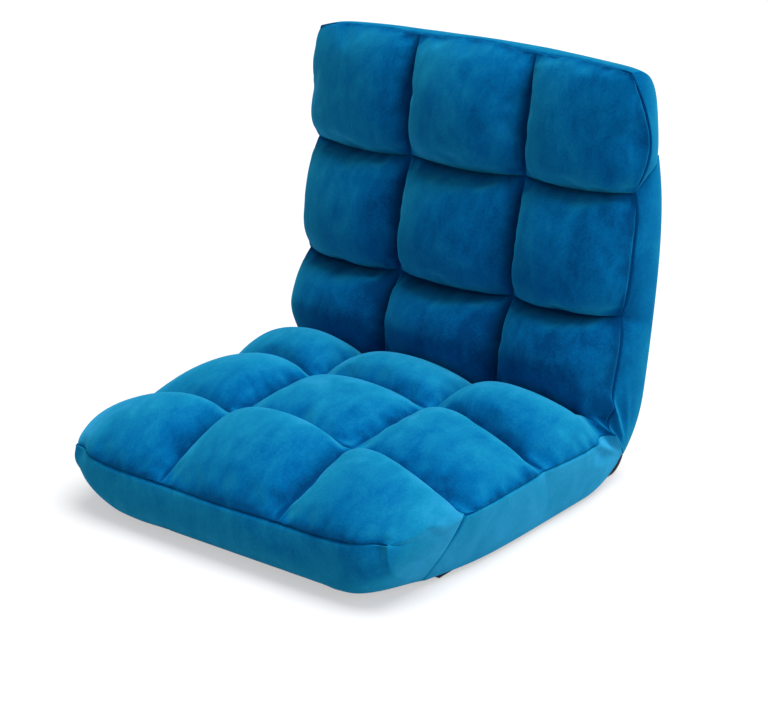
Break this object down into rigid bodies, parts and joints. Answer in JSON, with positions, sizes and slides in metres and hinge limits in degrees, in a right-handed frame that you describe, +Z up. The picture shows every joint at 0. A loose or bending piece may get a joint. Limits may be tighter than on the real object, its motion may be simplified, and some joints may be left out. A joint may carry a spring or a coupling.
{
  "type": "folding floor chair",
  "caption": "Legless floor chair: a tufted velvet seat and back on bent tube frames, joined by ratchet hinges so that the back reclines from upright to flat on the floor.",
  "frame": {"origin": "on the floor, at the middle of the seat's flat base pad", "axes": "+Z up; the sitter faces -Y, so +Y runs from the front roll towards the backrest; +X is the sitter's left; stored with the back in the seating position of the picture, about 8 degrees behind upright"},
  "size_m": [0.5208, 0.5796, 0.5252],
  "materials": {
    "velvet": "matte",
    "base_cloth": "matte",
    "foam": "matte",
    "frame_steel": "satin",
    "hinge_steel": "satin",
    "pin_steel": "satin"
  },
  "bodies": {
    "seat": {"seat_cushion": "velvet", "front_roll": "velvet", "seat_foam": "foam", "seat_base_pad": "base_cloth", "fold_gusset": "velvet", "hinge_skirt": "base_cloth", "seat_frame_tube": "frame_steel", "seat_cross_tube_front": "frame_steel", "seat_cross_tube_rear": "frame_steel", "pivot_washers": "pin_steel", "seat_rivets": "pin_steel", "hinge_outer_plate_left": "hinge_steel", "hinge_outer_plate_right": "hinge_steel", "hinge_inner_plate_left": "hinge_steel", "hinge_inner_plate_right": "hinge_steel", "hinge_filler_left": "hinge_steel", "hinge_filler_right": "hinge_steel", "pivot_pin_left": "pin_steel", "pivot_pin_right": "pin_steel", "pawl_pin_left": "pin_steel", "pawl_pin_right": "pin_steel", "pawl_spring_left": "pin_steel", "pawl_spring_right": "pin_steel"},
    "back": {"back_cushion": "velvet", "head_roll": "velvet", "back_foam": "foam", "back_base_pad": "base_cloth", "back_frame_tube": "frame_steel", "back_cross_tube_lower": "frame_steel", "back_cross_tube_upper": "frame_steel", "back_rivets": "pin_steel", "ratchet_arm_left": "hinge_steel", "ratchet_arm_right": "hinge_steel"},
    "pawl_left": {"pawl_left": "hinge_steel"},
    "pawl_right": {"pawl_right": "hinge_steel"}
  },
  "joints": [
    {"name": "back_recline", "type": "hinge", "parent": "seat", "child": "back", "pos_m": [0, 0.182, 0.034], "axis": [-1, 0, 0], "range_deg": [-14.9, 81.95], "deforming": ["fold_gusset", "hinge_skirt"]},
    {"name": "pawl_left_lift", "type": "hinge", "parent": "seat", "child": "pawl_left", "pos_m": [0.205, 0.1516, 0.04202], "axis": [1, 0, 0], "range_deg": [0, 8], "deforming": ["pawl_spring_left"]},
    {"name": "pawl_right_lift", "type": "hinge", "parent": "seat", "child": "pawl_right", "pos_m": [-0.205, 0.1516, 0.04202], "axis": [1, 0, 0], "range_deg": [0, 8], "deforming": ["pawl_spring_right"]}
  ]
}
